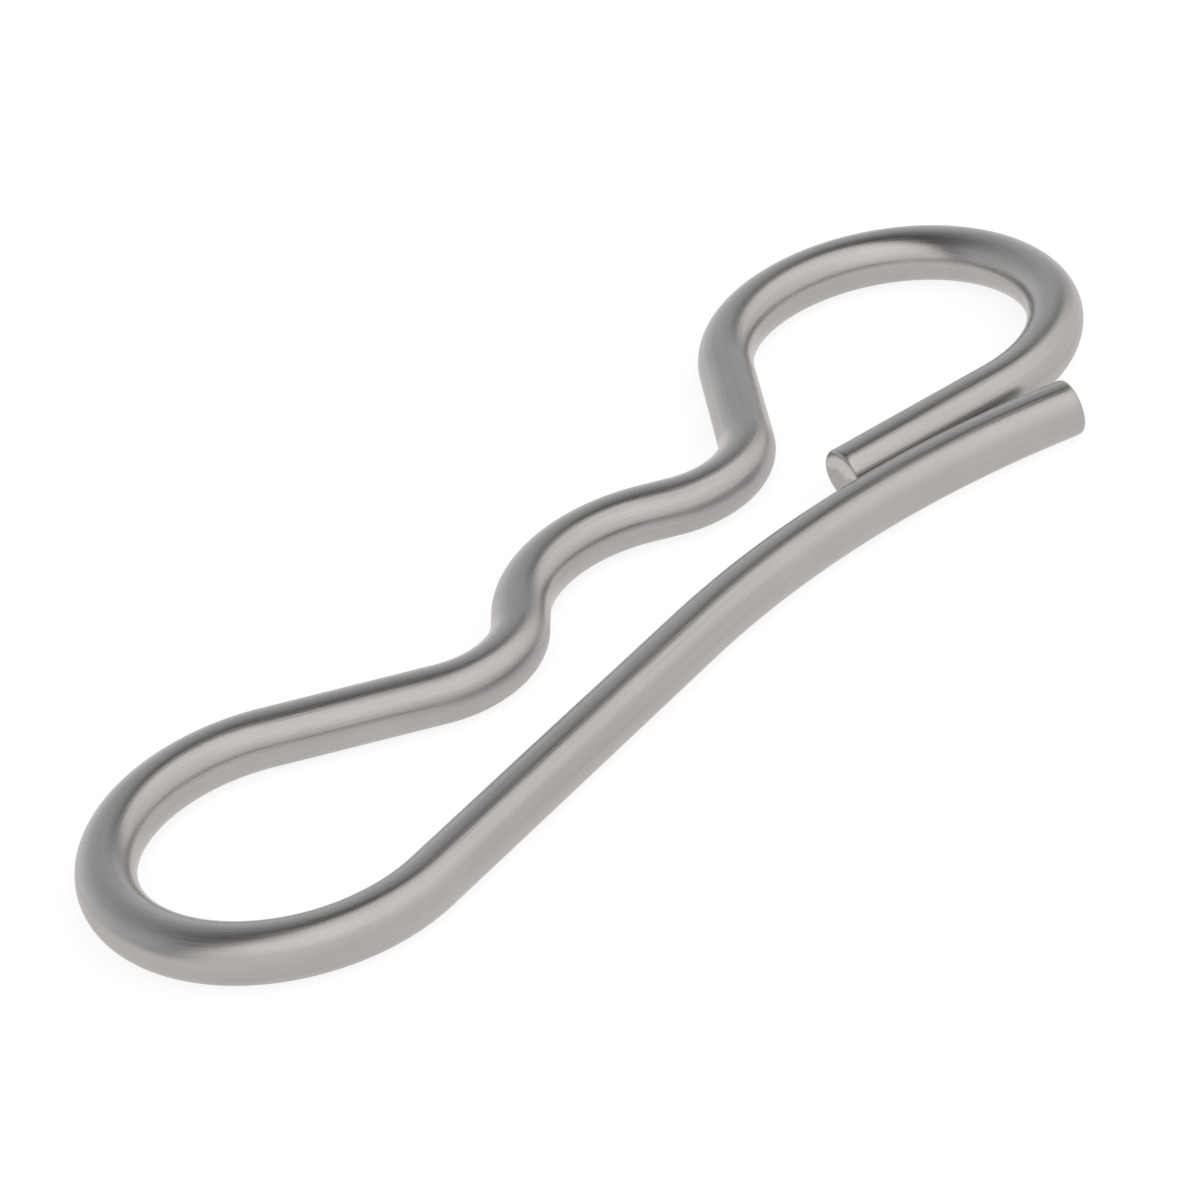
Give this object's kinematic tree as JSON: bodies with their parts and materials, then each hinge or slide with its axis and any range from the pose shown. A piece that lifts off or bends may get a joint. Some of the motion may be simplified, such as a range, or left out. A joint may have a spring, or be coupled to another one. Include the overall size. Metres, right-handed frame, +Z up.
{
  "type": "bow tie cotter pin",
  "caption": "Flat spring pin of bent round wire: its straight leg goes through a shaft's cross hole, and a saddle in its wavy side grips the shaft between the end loops.",
  "frame": {"origin": "on the ground under the middle of the pin's outline seen from above", "axes": "+X along the straight leg from the near loop to the toe, +Y from the leg to the saddle, +Z up, square to the flat of the pin"},
  "size_m": [0.0696, 0.0272, 0.003],
  "materials": {
    "wire": "satin"
  },
  "bodies": {
    "root": {"wire": "wire"}
  },
  "joints": []
}
